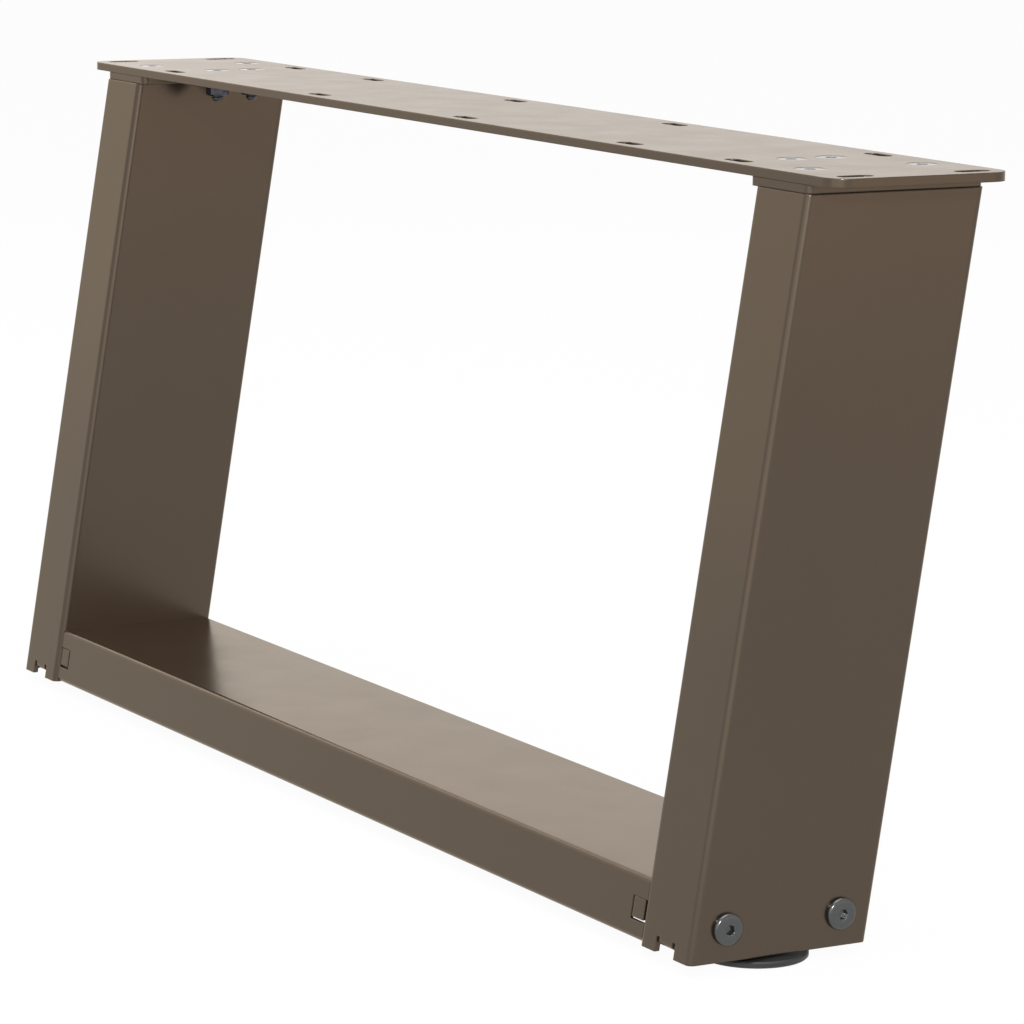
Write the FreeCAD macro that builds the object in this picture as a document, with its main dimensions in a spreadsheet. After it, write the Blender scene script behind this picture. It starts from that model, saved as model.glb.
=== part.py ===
import FreeCAD, Part
import os
import re
import Sketcher
from FreeCAD import Placement, Rotation, Vector

# U shaped table leg of folded sheet steel: a flat top plate with slots, two leaning
# box-section uprights, a bottom rail between them and a round levelling foot under each.
# Millimetres. X runs along the plate, Y from front to back, Z up. The origin is the
# centre of the top plate's upper face, which lies against the table top.
# The leg leans towards the front on its way down.

SIZES = [
    ("plate_length", 900, "top plate, end to end"),
    ("plate_width", 110, "top plate, front to back"),
    ("plate_gauge", 5, "top plate thickness"),
    ("plate_corner", 12, "radius of the plate's corners"),
    ("slot_length", 21, "fixing slot, end to end"),
    ("slot_width", 8.5, "fixing slot, across"),
    ("slot_inset", 11, "slot centre line from the plate's long edge"),
    ("slot_pitch_share", 0.20444444, "step between an edge's three middle slots, of the length"),
    ("slot_shift_share", 0.05333333, "front edge's middle slot from the centre, of the length"),
    ("outer_slot_inset", 108, "outer slot of an edge, from the plate's end"),
    ("end_slot_inset", 11, "crosswise slot centre from the plate's end"),
    ("end_slot_spread", 72, "between the two crosswise slots of an end"),
    ("flange_gauge", 5, "welded flange on top of each upright"),
    ("flange_step", 6, "flange past the inner face of the upright"),
    ("flange_relief", 0.6, "flange edges inside the upright's outline"),
    ("flange_corner", 4, "radius of the flange's corners"),
    ("tongue_margin", 15, "tongue of the flange past its screw holes"),
    ("tongue_corner", 9, "radius of the tongue's free corners"),
    ("upright_inset", 25, "outer face of the upright from the plate's end"),
    ("upright_depth", 50, "upright section along the plate"),
    ("upright_width", 110, "upright section front to back, level cut"),
    ("upright_wall", 3, "sheet thickness of the upright"),
    ("upright_bend", 4, "outer radius of the upright's folds"),
    ("upright_drop", 396, "height of the upright below its flange"),
    ("lean_angle", 9, "lean of the uprights towards the front, degrees"),
    ("notch_width", 18.5, "notch in the bottom edge, slits included"),
    ("notch_height", 4, "fold line of the tab above the bottom edge"),
    ("slit_width", 3, "relief slit beside the tab"),
    ("slit_rise", 4.5, "relief slit above the fold line"),
    ("tab_reach", 16, "folded tab, from the outer face inwards"),
    ("tab_bend", 2.5, "outer radius of the tab's fold"),
    ("rail_height", 34, "bottom rail, top face to lips"),
    ("rail_lift", 0.5, "bottom rail above the uprights' bottom edge"),
    ("rail_wall", 2, "sheet thickness of the rail"),
    ("rail_bend", 3, "outer radius of the rail's folds"),
    ("rail_lip", 16, "lips folded in under the rail"),
    ("end_plate_gauge", 2, "plate that closes each end of the rail"),
    ("weld_gap", 0.2, "between a welded piece and the sheet round it"),
    ("bar_side", 11, "square cross bar in each end of the rail"),
    ("rail_inset", 1.6, "rail behind the uprights' front and back faces"),
    ("bar_gap", 1.4, "beside and below the cross bar in its notch"),
    ("bar_top_gap", 0.3, "above the cross bar in its notch"),
    ("thread_diameter", 8, "all screws and studs"),
    ("thread_gap", 0.1, "radial play of a screw in its thread"),
    ("bolt_clearance", 0.5, "radial play of a screw in a plain hole"),
    ("stud_clearance", 0.3, "radial play of a levelling stud"),
    ("socket_width", 5, "hexagon socket across flats"),
    ("socket_depth", 2.4, "hexagon socket depth"),
    ("frame_screw_spread", 70, "between the two screws of an upright"),
    ("frame_head", 17.5, "head diameter of the frame screws"),
    ("frame_head_rise", 3.4, "head height of the frame screws"),
    ("frame_head_rim", 1.3, "straight rim of the head"),
    ("frame_head_flat", 12.4, "flat top of the head, across"),
    ("tip_overhang", 1, "frame screw past the cross bar"),
    ("outer_screw_offset", 4, "outer plate screws, inwards of the upright's centre"),
    ("outer_screw_spread", 70, "between the two outer plate screws"),
    ("inner_screw_reach", 31, "inner plate screws, past the upright's inner face"),
    ("inner_screw_spread", 25, "between the two inner plate screws"),
    ("sink_head", 16.4, "head diameter of the countersunk screws"),
    ("sink_gap", 0.2, "radial play of the head in its countersink"),
    ("sink_depth", 0.15, "head below the plate's face"),
    ("nut_width", 13, "hexagon nut across flats"),
    ("nut_height", 6.5, "hexagon nut height"),
    ("nut_overhang", 3.5, "plate screw past its nut"),
    ("foot_radius", 29.5, "levelling foot"),
    ("foot_drop", 6, "floor below the uprights' bottom edge"),
    ("foot_rim", 3.5, "straight rim of the foot"),
    ("foot_cone", 4, "height of the foot's cone above its rim"),
    ("foot_neck", 12, "radius of the foot's neck"),
    ("foot_chamfer", 0.8, "broken edges of the foot's rim"),
    ("foot_floor", 2, "foot material under the stud"),
    ("stud_length", 34, "levelling stud"),
    ("stud_chamfer", 1, "chamfer of stud and screw tips"),
    ("foot_plate_gauge", 4, "plate that carries the levelling stud"),
    ("foot_plate_gap", 0.5, "between that plate and the folded walls"),
]
NAMES = [alias for alias, value, note in SIZES]

doc = FreeCAD.newDocument("u_table_leg")
sheet = doc.addObject("Spreadsheet::Sheet", "Sizes")
for line, (alias, value, note) in enumerate(SIZES, 1):
    sheet.set(f"A{line}", note)
    sheet.set(f"B{line}", str(value))
    sheet.setAlias(f"B{line}", alias)
doc.recompute()


def cell(text):
    """Turns a formula of size names into an expression on the sheet."""
    return re.sub(r"\b[a-z]+(?:_[a-z]+)+\b", lambda m: "Sizes." + m.group(0), text)


# Formulas that several pieces share.
TAN = "tan(lean_angle)"
LEVEL_WALL = "(upright_wall / cos(lean_angle))"
LEVEL_RAIL_WALL = "(rail_wall / cos(lean_angle))"
OUTER_FACE = "(plate_length / 2 - upright_inset)"
UPRIGHT_X = f"({OUTER_FACE} - upright_depth / 2)"
INNER_FACE = f"({OUTER_FACE} - upright_depth)"
UPRIGHT_TOP = "(plate_gauge + flange_gauge)"
BOTTOM = f"({UPRIGHT_TOP} + upright_drop)"
RAIL_DROP = "(upright_drop - rail_lift - rail_height / 2)"
OUTER_SCREW_X = f"({UPRIGHT_X} - outer_screw_offset)"
INNER_SCREW_X = f"({INNER_FACE} - inner_screw_reach)"
PLAIN_HOLE = "(thread_diameter / 2 + bolt_clearance)"
TAPPED_HOLE = "(thread_diameter / 2 + thread_gap)"
STUD_HOLE = "(thread_diameter / 2 + stud_clearance)"
SEAT = "(notch_height + upright_wall)"


def value(text):
    """The number that a formula of size names has now."""
    return float(sheet.evalExpression(cell(text)))


def bind(obj, prop, text):
    obj.setExpression(prop, cell(text))


def new_body(name, x=None, y=None, z=None):
    body = doc.addObject("PartDesign::Body", name)
    body.Label = name
    for axis, text in (("x", x), ("y", y), ("z", z)):
        if text is not None:
            bind(body, f"Placement.Base.{axis}", text)
    return body


def new_sketch(body, name, plane, offset=None):
    """A sketch on one of the body's origin planes, moved along the plane's normal."""
    origin_plane = next(f for f in body.Origin.OriginFeatures if f.Role == plane)
    sketch = body.newObject("Sketcher::SketchObject", name)
    sketch.AttachmentSupport = [(origin_plane, "")]
    sketch.MapMode = "FlatFace"
    if offset is not None:
        bind(sketch, "AttachmentOffset.Base.z", offset)
    return sketch


def hold(sketch, kind, args, text):
    """Adds a driving constraint whose number comes from the sheet."""
    index = sketch.addConstraint(Sketcher.Constraint(kind, *args, value(text)))
    bind(sketch, f"Constraints[{index}]", text)


def pin_point(sketch, geo, pos, x, y):
    """Fixes a point of the sketch at two formulas, on an axis where one is zero."""
    for kind, text, axis in (("DistanceX", x, -2), ("DistanceY", y, -1)):
        if abs(value(text)) < 1e-9:
            sketch.addConstraint(Sketcher.Constraint("PointOnObject", geo, pos, axis))
        else:
            hold(sketch, kind, (-1, 1, geo, pos), text)


def draw_polygon(sketch, corners):
    """A closed outline through corners given as pairs of formulas."""
    points = [Vector(value(x), value(y), 0) for x, y in corners]
    count = len(points)
    first = sketch.GeometryCount
    for i in range(count):
        sketch.addGeometry(Part.LineSegment(points[i], points[(i + 1) % count]), False)
    for i in range(count):
        sketch.addConstraint(
            Sketcher.Constraint("Coincident", first + i, 2, first + (i + 1) % count, 1))
        pin_point(sketch, first + i, 1, *corners[i])


def draw_rounded_box(sketch, length, width, radius, x="0", y="0"):
    """A rectangle with rounded corners round the point x, y."""
    a, b, r = value(length) / 2, value(width) / 2, value(radius)
    cx, cy = value(x), value(y)
    g = sketch.GeometryCount
    quarter = 1.5707963267948966
    centres = [(a - r, -b + r), (a - r, b - r), (-a + r, b - r), (-a + r, -b + r)]
    ends = [((-a + r, -b), (a - r, -b)), ((a, -b + r), (a, b - r)),
            ((a - r, b), (-a + r, b)), ((-a, b - r), (-a, -b + r))]
    for i in range(4):
        (x0, y0), (x1, y1) = ends[i]
        sketch.addGeometry(
            Part.LineSegment(Vector(cx + x0, cy + y0, 0), Vector(cx + x1, cy + y1, 0)), False)
        circle = Part.Circle(Vector(cx + centres[i][0], cy + centres[i][1], 0), Vector(0, 0, 1), r)
        sketch.addGeometry(Part.ArcOfCircle(circle, (i - 1) * quarter, i * quarter), False)
    for i in range(4):
        side, arc, following = g + 2 * i, g + 2 * i + 1, g + (2 * i + 2) % 8
        sketch.addConstraint(Sketcher.Constraint("Tangent", side, 2, arc, 1))
        sketch.addConstraint(Sketcher.Constraint("Tangent", arc, 2, following, 1))
        kind = "Horizontal" if i % 2 == 0 else "Vertical"
        sketch.addConstraint(Sketcher.Constraint(kind, side))
        if i:
            sketch.addConstraint(Sketcher.Constraint("Equal", g + 1, arc))
    hold(sketch, "Radius", (g + 1,), radius)
    pin_point(sketch, g + 5, 3, f"{x} - ({length}) / 2 + ({radius})", f"{y} + ({width}) / 2 - ({radius})")
    pin_point(sketch, g + 1, 3, f"{x} + ({length}) / 2 - ({radius})", f"{y} - ({width}) / 2 + ({radius})")


def draw_slot(sketch, x, y, along_x=True):
    """A round-ended fixing slot with its centre at x, y."""
    half = "((slot_length - slot_width) / 2)"
    cx, cy, h, r = value(x), value(y), value(half), value("slot_width / 2")
    g = sketch.GeometryCount
    turn = 1.5707963267948966
    if along_x:
        ends = [(cx + h, cy), (cx - h, cy)]
        start = -turn
        texts = [(f"{x} + {half}", y), (f"{x} - {half}", y)]
    else:
        ends = [(cx, cy + h), (cx, cy - h)]
        start = 0.0
        texts = [(x, f"{y} + {half}"), (x, f"{y} - {half}")]
    for i, (ex, ey) in enumerate(ends):
        circle = Part.Circle(Vector(ex, ey, 0), Vector(0, 0, 1), r)
        begin = start + i * 2 * turn
        sketch.addGeometry(Part.ArcOfCircle(circle, begin, begin + 2 * turn), False)
    one, two = sketch.Geometry[g], sketch.Geometry[g + 1]
    sketch.addGeometry(Part.LineSegment(one.EndPoint, two.StartPoint), False)
    sketch.addGeometry(Part.LineSegment(two.EndPoint, one.StartPoint), False)
    for first, second in ((g, g + 2), (g + 2, g + 1), (g + 1, g + 3), (g + 3, g)):
        sketch.addConstraint(Sketcher.Constraint("Tangent", first, 2, second, 1))
    sketch.addConstraint(Sketcher.Constraint("Equal", g, g + 1))
    hold(sketch, "Radius", (g,), "slot_width / 2")
    pin_point(sketch, g, 3, *texts[0])
    if along_x:
        hold(sketch, "DistanceX", (-1, 1, g + 1, 3), texts[1][0])
        sketch.addConstraint(Sketcher.Constraint("Horizontal", g + 2))
    else:
        hold(sketch, "DistanceY", (-1, 1, g + 1, 3), texts[1][1])
        sketch.addConstraint(Sketcher.Constraint("Vertical", g + 2))


def draw_circle(sketch, x, y, radius):
    g = sketch.GeometryCount
    circle = Part.Circle(Vector(value(x), value(y), 0), Vector(0, 0, 1), value(radius))
    sketch.addGeometry(circle, False)
    hold(sketch, "Radius", (g,), radius)
    pin_point(sketch, g, 3, x, y)


def draw_hexagon(sketch, across):
    """A regular hexagon round the origin, given across its flats."""
    g = sketch.GeometryCount
    r = value(across) / 3 ** 0.5
    points = [Rotation(Vector(0, 0, 1), 60 * i).multVec(Vector(r, 0, 0)) for i in range(6)]
    for i in range(6):
        sketch.addGeometry(Part.LineSegment(points[i], points[(i + 1) % 6]), False)
    sketch.addGeometry(Part.Circle(Vector(0, 0, 0), Vector(0, 0, 1), r), True)
    sketch.addConstraint(Sketcher.Constraint("Coincident", g + 6, 3, -1, 1))
    for i in range(6):
        sketch.addConstraint(Sketcher.Constraint("Coincident", g + i, 2, g + (i + 1) % 6, 1))
        sketch.addConstraint(Sketcher.Constraint("PointOnObject", g + i, 1, g + 6))
        if i:
            sketch.addConstraint(Sketcher.Constraint("Equal", g, g + i))
    sketch.addConstraint(Sketcher.Constraint("PointOnObject", g, 1, -1))
    hold(sketch, "Radius", (g + 6,), f"({across}) / sqrt(3)")


def pad(body, name, sketch, length, **settings):
    feature = body.newObject("PartDesign::Pad", name)
    feature.Profile = sketch
    for prop, setting in settings.items():
        setattr(feature, prop, setting)
    bind(feature, "Length", length)
    body.Tip = feature
    return feature


def pocket(body, name, sketch, length=None, **settings):
    """Cuts to a depth, or through everything on both sides of the sketch."""
    before = body.Shape.Volume if not body.Shape.isNull() else 0
    feature = body.newObject("PartDesign::Pocket", name)
    feature.Profile = sketch
    if length is None:
        feature.Type = "ThroughAll"
        feature.Midplane = True
    else:
        bind(feature, "Length", length)
    for prop, setting in settings.items():
        setattr(feature, prop, setting)
    body.Tip = feature
    doc.recompute()
    if body.Shape.Volume > before - 1e-3:
        raise RuntimeError(f"{body.Name}: {name} cuts nothing")
    return feature


def revolve(body, name, sketch, axis):
    feature = body.newObject("PartDesign::Revolution", name)
    feature.Profile = sketch
    feature.ReferenceAxis = (sketch, [axis])
    feature.Angle = 360
    body.Tip = feature
    doc.recompute()
    return feature


def round_edges(body, name, radius, test):
    """Rounds the edges of the body that a test on each edge picks."""
    doc.recompute()
    base = body.Tip
    picked = [f"Edge{i}" for i, edge in enumerate(base.Shape.Edges, 1) if test(edge)]
    if not picked:
        raise RuntimeError(f"{body.Name}: {name} finds no edge")
    feature = body.newObject("PartDesign::Fillet", name)
    feature.Base = (base, picked)
    bind(feature, "Radius", radius)
    body.Tip = feature
    doc.recompute()
    return feature


def mid(edge):
    return edge.valueAt((edge.FirstParameter + edge.LastParameter) / 2)


def runs_along(edge, axis):
    if edge.Curve.TypeId != "Part::GeomLine":
        return False
    direction = edge.tangentAt(edge.FirstParameter)
    return abs(abs(direction.dot(axis)) - 1) < 1e-6


def mirrored(name, source, normal, y=None):
    """The same piece on the other side of a plane that passes through y."""
    other = doc.addObject("Part::Mirroring", name)
    other.Label = name
    other.Source = source
    other.Normal = normal
    if y is not None:
        bind(other, "Base.y", y)
    return other


def grouped(name, members):
    group = doc.addObject("Part::Compound", name)
    group.Label = name
    group.Links = members
    return group


X, Y, Z = Vector(1, 0, 0), Vector(0, 1, 0), Vector(0, 0, 1)
nodes = []

# Top plate: slots along both long edges and across both ends, and countersunk holes.
# The slots of the back edge are those of the front edge turned half round.
plate = new_body("top_plate")
outline = new_sketch(plate, "plate_outline", "XY_Plane")
draw_rounded_box(outline, "plate_length", "plate_width", "plate_corner")
pad(plate, "plate_sheet", outline, "plate_gauge", Reversed=True)
doc.recompute()
slots = new_sketch(plate, "plate_slots", "XY_Plane")
front_line = "(-(plate_width / 2 - slot_inset))"
outer_slot = "(plate_length / 2 - outer_slot_inset)"
for place in (f"-{outer_slot}", "(plate_length * (slot_shift_share - slot_pitch_share))",
              "(plate_length * slot_shift_share)",
              "(plate_length * (slot_shift_share + slot_pitch_share))", outer_slot):
    draw_slot(slots, place, front_line)
for place in ("(-end_slot_spread / 2)", "(end_slot_spread / 2)"):
    draw_slot(slots, "(plate_length / 2 - end_slot_inset)", place, along_x=False)
slot_cut = pocket(plate, "slot_cut", slots)
screw_points = new_sketch(plate, "plate_screw_points", "XY_Plane")
for x, spread in ((OUTER_SCREW_X, "outer_screw_spread"), (INNER_SCREW_X, "inner_screw_spread")):
    for sign in ("", "-"):
        draw_circle(screw_points, x, f"({sign}{spread} / 2)", PLAIN_HOLE)
doc.recompute()
sinks = plate.newObject("PartDesign::Hole", "screw_sinks")
sinks.Profile = screw_points
doc.recompute()
sinks.ThreadType = "None"
sinks.DepthType = "ThroughAll"
sinks.HoleCutType = "Countersink"
sinks.HoleCutCustomValues = True
bind(sinks, "Diameter", f"2 * {PLAIN_HOLE}")
bind(sinks, "HoleCutDiameter", "sink_head + 2 * sink_gap")
sinks.HoleCutCountersinkAngle = 90
plate.Tip = sinks
doc.recompute()
turned = plate.newObject("PartDesign::PolarPattern", "other_half")
turned.Originals = [slot_cut, sinks]
turned.Axis = (outline, ["N_Axis"])
turned.Angle = 360
turned.Occurrences = 2
plate.Tip = turned
nodes.append(plate)

# Flange on top of each upright: a rounded plate with a tongue that reaches inwards
# for the inner pair of screws.
flange = new_body("right_flange", x=UPRIGHT_X, z="-plate_gauge")
flange_face = new_sketch(flange, "flange_outline", "XY_Plane")
draw_rounded_box(
    flange_face, "(upright_depth + flange_step - flange_relief)",
    "(upright_width - 2 * flange_relief)", "flange_corner",
    x="(-(flange_step + flange_relief) / 2)")
pad(flange, "flange_sheet", flange_face, "flange_gauge", Reversed=True)
tongue_face = new_sketch(flange, "tongue_outline", "XY_Plane")
tongue_end = "(-upright_depth / 2 - inner_screw_reach - tongue_margin)"
tongue_half = "(inner_screw_spread / 2 + tongue_margin)"
draw_polygon(tongue_face, [
    (tongue_end, f"-{tongue_half}"), ("0.1 * upright_depth", f"-{tongue_half}"),
    ("0.1 * upright_depth", tongue_half), (tongue_end, tongue_half)])
pad(flange, "tongue_sheet", tongue_face, "flange_gauge", Reversed=True)
round_edges(
    flange, "tongue_corners", "tongue_corner",
    lambda e: runs_along(e, Z) and mid(e).x < value(tongue_end) + 0.1)
flange_points = new_sketch(flange, "flange_screw_points", "XY_Plane")
for x, spread in (("(-outer_screw_offset)", "outer_screw_spread"),
                  ("(-upright_depth / 2 - inner_screw_reach)", "inner_screw_spread")):
    for sign in ("", "-"):
        draw_circle(flange_points, x, f"({sign}{spread} / 2)", PLAIN_HOLE)
pocket(flange, "flange_holes", flange_points)
nodes += [flange, mirrored("left_flange", flange, X)]

# Upright: a folded box section cut level at both ends. A tab at the middle of the front
# and of the back edge is folded inwards between two relief slits and carries the foot.
upright = new_body("right_upright", x=UPRIGHT_X, z=f"-{UPRIGHT_TOP}")
section = new_sketch(upright, "upright_section", "XY_Plane")
draw_rounded_box(section, "upright_depth", "upright_width", "upright_bend")
draw_rounded_box(
    section, "(upright_depth - 2 * upright_wall)", f"(upright_width - 2 * {LEVEL_WALL})",
    "(upright_bend - upright_wall)")
box = pad(upright, "upright_sheet", section, "upright_drop", UseCustomVector=True,
          AlongSketchNormal=True)
box.Direction = Vector(0, -value(TAN), -1)
bind(box, "Direction.y", f"-{TAN}")
doc.recompute()
notch = new_sketch(upright, "notch_outline", "XZ_Plane")
half, tab_half = "(notch_width / 2)", "(notch_width / 2 - slit_width)"
fold = "(notch_height - upright_drop)"
slit_top = "(notch_height + slit_rise - upright_drop)"
below = "(-upright_drop - notch_height)"
draw_polygon(notch, [
    (f"-{half}", below), (half, below), (half, slit_top), (tab_half, slit_top),
    (tab_half, fold), (f"-{tab_half}", fold), (f"-{tab_half}", slit_top), (f"-{half}", slit_top)])
pocket(upright, "notch_cut", notch)
for side, y, inwards in (("front", "(-upright_width / 2)", ""), ("back", "(upright_width / 2)", "-")):
    tab = new_sketch(upright, f"{side}_tab_profile", "YZ_Plane")
    low = f"({y} + {TAN} * {fold})"
    high = f"({y} + {TAN} * ({fold} + upright_wall))"
    reach = f"({low} + {inwards}tab_reach)"
    draw_polygon(tab, [(low, fold), (reach, fold), (reach, f"{fold} + upright_wall"),
                       (high, f"{fold} + upright_wall")])
    pad(upright, f"{side}_tab", tab, "notch_width - 2 * slit_width", Midplane=True)
round_edges(
    upright, "tab_folds", "tab_bend",
    lambda e: runs_along(e, X) and abs(mid(e).z - value(fold)) < 0.01
    and abs(abs(mid(e).y - value(f"{TAN} * {fold}")) - value("upright_width / 2")) < 0.01)
screw_line = new_sketch(upright, "frame_screw_points", "YZ_Plane")
for sign in ("-", "+"):
    draw_circle(screw_line, f"(-{TAN} * {RAIL_DROP} {sign} frame_screw_spread / 2)",
                f"-{RAIL_DROP}", PLAIN_HOLE)
pocket(upright, "frame_screw_holes", screw_line)
nodes += [upright, mirrored("left_upright", upright, X)]


def leaning(width, height):
    """Corners of a level-topped section whose front and back follow the lean."""
    lean_half = f"{TAN} * ({height}) / 2"
    return [(f"-({width}) / 2 - {lean_half}", f"-({height}) / 2"),
            (f"({width}) / 2 - {lean_half}", f"-({height}) / 2"),
            (f"({width}) / 2 + {lean_half}", f"({height}) / 2"),
            (f"-({width}) / 2 + {lean_half}", f"({height}) / 2")]


# Bottom rail: a folded channel, open below between two lips, with a notch in its front
# and back wall at each end for the cross bar.
RAIL_LENGTH = f"(2 * {INNER_FACE})"
RAIL_WIDTH = "(upright_width - 2 * rail_inset)"
RAIL_Y, RAIL_Z = f"-{TAN} * {RAIL_DROP}", f"-{UPRIGHT_TOP} - {RAIL_DROP}"
rail = new_body("bottom_rail", y=RAIL_Y, z=RAIL_Z)
rail_face = new_sketch(rail, "rail_section", "YZ_Plane")
draw_polygon(rail_face, leaning(RAIL_WIDTH, "rail_height"))
pad(rail, "rail_sheet", rail_face, RAIL_LENGTH, Midplane=True)
round_edges(rail, "rail_folds", "rail_bend", lambda e: runs_along(e, X))
hollow_face = new_sketch(rail, "rail_hollow", "YZ_Plane")
hollow_width = f"({RAIL_WIDTH} - 2 * {LEVEL_RAIL_WALL})"
hollow_height = "(rail_height - 2 * rail_wall)"
draw_polygon(hollow_face, leaning(hollow_width, hollow_height))
pocket(rail, "rail_hollow_cut", hollow_face)
round_edges(
    rail, "rail_inner_folds", "rail_bend - rail_wall",
    lambda e: runs_along(e, X) and abs(abs(mid(e).z) - value(hollow_height) / 2) < 0.01
    and abs(mid(e).y) > value("upright_width") / 3)
mouth_face = new_sketch(rail, "rail_mouth", "XY_Plane")
mouth_half = f"({RAIL_WIDTH} / 2 - rail_lip)"
mouth_y = f"({TAN} * rail_height / 2)"
draw_polygon(mouth_face, [
    (f"-{RAIL_LENGTH}", f"-{mouth_half} - {mouth_y}"), (RAIL_LENGTH, f"-{mouth_half} - {mouth_y}"),
    (RAIL_LENGTH, f"{mouth_half} - {mouth_y}"), (f"-{RAIL_LENGTH}", f"{mouth_half} - {mouth_y}")])
pocket(rail, "rail_mouth_cut", mouth_face, "rail_height")
notch_face = new_sketch(rail, "bar_notches", "XZ_Plane")
bar_x = f"({INNER_FACE} - end_plate_gauge - bar_side / 2)"
notch_end, notch_root = f"({INNER_FACE} + 1)", f"({bar_x} - bar_side / 2 - bar_gap)"
notch_floor, notch_top = "-(bar_side / 2 + bar_gap)", "(bar_side / 2 + bar_top_gap)"
for sign in ("", "-"):
    draw_polygon(notch_face, [
        (sign + notch_root, notch_floor), (sign + notch_end, notch_floor),
        (sign + notch_end, notch_top), (sign + notch_root, notch_top)])
pocket(rail, "bar_notch_cut", notch_face)
nodes.append(rail)

# Plate welded into each end of the rail.
end_plate = new_body("right_rail_end_plate", x=f"{INNER_FACE} - end_plate_gauge", y=RAIL_Y, z=RAIL_Z)
end_face = new_sketch(end_plate, "end_plate_outline", "YZ_Plane")
draw_polygon(end_face, leaning(f"({hollow_width} - 2 * weld_gap)", f"({hollow_height} - 2 * weld_gap)"))
pad(end_plate, "end_plate_sheet", end_face, "end_plate_gauge")
round_edges(end_plate, "end_plate_corners", "rail_bend - rail_wall", lambda e: runs_along(e, X))
end_points = new_sketch(end_plate, "end_plate_screw_points", "YZ_Plane")
for sign in ("-", ""):
    draw_circle(end_points, f"({sign}frame_screw_spread / 2)", "0", PLAIN_HOLE)
pocket(end_plate, "end_plate_holes", end_points)
nodes += [end_plate, mirrored("left_rail_end_plate", end_plate, X)]

# Square cross bar behind that plate: both its ends show in the notches of the rail, and
# the frame screws run into its two threads.
bar = new_body("right_cross_bar", x=bar_x, y=RAIL_Y, z=RAIL_Z)
bar_face = new_sketch(bar, "bar_outline", "YZ_Plane")
draw_polygon(bar_face, leaning(RAIL_WIDTH, "bar_side"))
pad(bar, "bar_solid", bar_face, "bar_side", Midplane=True)
doc.recompute()
bar_points = new_sketch(bar, "bar_thread_points", "YZ_Plane")
for sign in ("-", ""):
    draw_circle(bar_points, f"({sign}frame_screw_spread / 2)", "0", TAPPED_HOLE)
pocket(bar, "bar_threads", bar_points)
nodes += [bar, mirrored("left_cross_bar", bar, X)]

# Frame screw: a low domed head with a hexagon socket on the upright's outer face, and
# a shank through the upright and the end plate into the cross bar. Two cones between the
# flat top and the rim make the dome.
screw = new_body("frame_screw_back", x=OUTER_FACE,
                 y=f"-{TAN} * {RAIL_DROP} + frame_screw_spread / 2", z=RAIL_Z)
profile = new_sketch(screw, "frame_screw_profile", "XZ_Plane")
shank = "(upright_depth + end_plate_gauge + bar_side + tip_overhang)"
radius = "(thread_diameter / 2)"
dome_height = "(frame_head_rim + (frame_head_rise - frame_head_rim) * sin(45))"
dome_radius = "(frame_head_flat / 2 + (frame_head - frame_head_flat) / 2 * cos(45))"
draw_polygon(profile, [
    (f"-{shank}", "0"), ("frame_head_rise", "0"), ("frame_head_rise", "frame_head_flat / 2"),
    (dome_height, dome_radius), ("frame_head_rim", "frame_head / 2"),
    ("0", "frame_head / 2"), ("0", radius), (f"-{shank}", radius)])
revolve(screw, "frame_screw_turned", profile, "H_Axis")
socket = new_sketch(screw, "frame_socket", "YZ_Plane", "frame_head_rise")
draw_hexagon(socket, "socket_width")
pocket(screw, "frame_socket_cut", socket, "socket_depth")
twin = mirrored("frame_screw_front", screw, Y, RAIL_Y)
frame_screws = grouped("right_frame_screws", [screw, twin])
nodes += [frame_screws, mirrored("left_frame_screws", frame_screws, X)]


# Plate screws and their nuts: two pairs at each end, outer pair over the upright and
# inner pair through the tongue of the flange.
def plate_screw(name, x, spread):
    body = new_body(name, x=x, y=f"{spread} / 2", z="-sink_depth")
    sketch = new_sketch(body, name + "_profile", "XZ_Plane")
    tip = "(-(plate_gauge + flange_gauge + nut_height + nut_overhang - sink_depth))"
    draw_polygon(sketch, [
        ("0", "0"), ("sink_head / 2", "0"), (radius, f"-(sink_head / 2 - {radius})"),
        (radius, f"{tip} + stud_chamfer"), (f"{radius} - stud_chamfer", tip), ("0", tip)])
    revolve(body, name + "_turned", sketch, "V_Axis")
    socket_face = new_sketch(body, name + "_socket", "XY_Plane")
    draw_hexagon(socket_face, "socket_width")
    pocket(body, name + "_socket_cut", socket_face, "socket_depth")
    return body


def hexagon_nut(name, x, y, z, bore):
    body = new_body(name, x=x, y=y, z=z)
    sketch = new_sketch(body, name + "_outline", "XY_Plane")
    draw_hexagon(sketch, "nut_width")
    draw_circle(sketch, "0", "0", bore)
    pad(body, name + "_solid", sketch, "nut_height")
    return body


outer_screw = plate_screw("outer_plate_screw", OUTER_SCREW_X, "outer_screw_spread")
inner_screw = plate_screw("inner_plate_screw", INNER_SCREW_X, "inner_screw_spread")
plate_screws = grouped("right_plate_screws", [
    outer_screw, mirrored("outer_plate_screw_front", outer_screw, Y),
    inner_screw, mirrored("inner_plate_screw_front", inner_screw, Y)])
NUT_Z = f"-{UPRIGHT_TOP} - nut_height"
outer_nut = hexagon_nut("outer_nut", OUTER_SCREW_X, "outer_screw_spread / 2", NUT_Z, TAPPED_HOLE)
inner_nut = hexagon_nut("inner_nut", INNER_SCREW_X, "inner_screw_spread / 2", NUT_Z, TAPPED_HOLE)
plate_nuts = grouped("right_plate_nuts", [
    outer_nut, mirrored("outer_nut_front", outer_nut, Y),
    inner_nut, mirrored("inner_nut_front", inner_nut, Y)])
nodes += [plate_screws, mirrored("left_plate_screws", plate_screws, X),
          plate_nuts, mirrored("left_plate_nuts", plate_nuts, X)]

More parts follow.
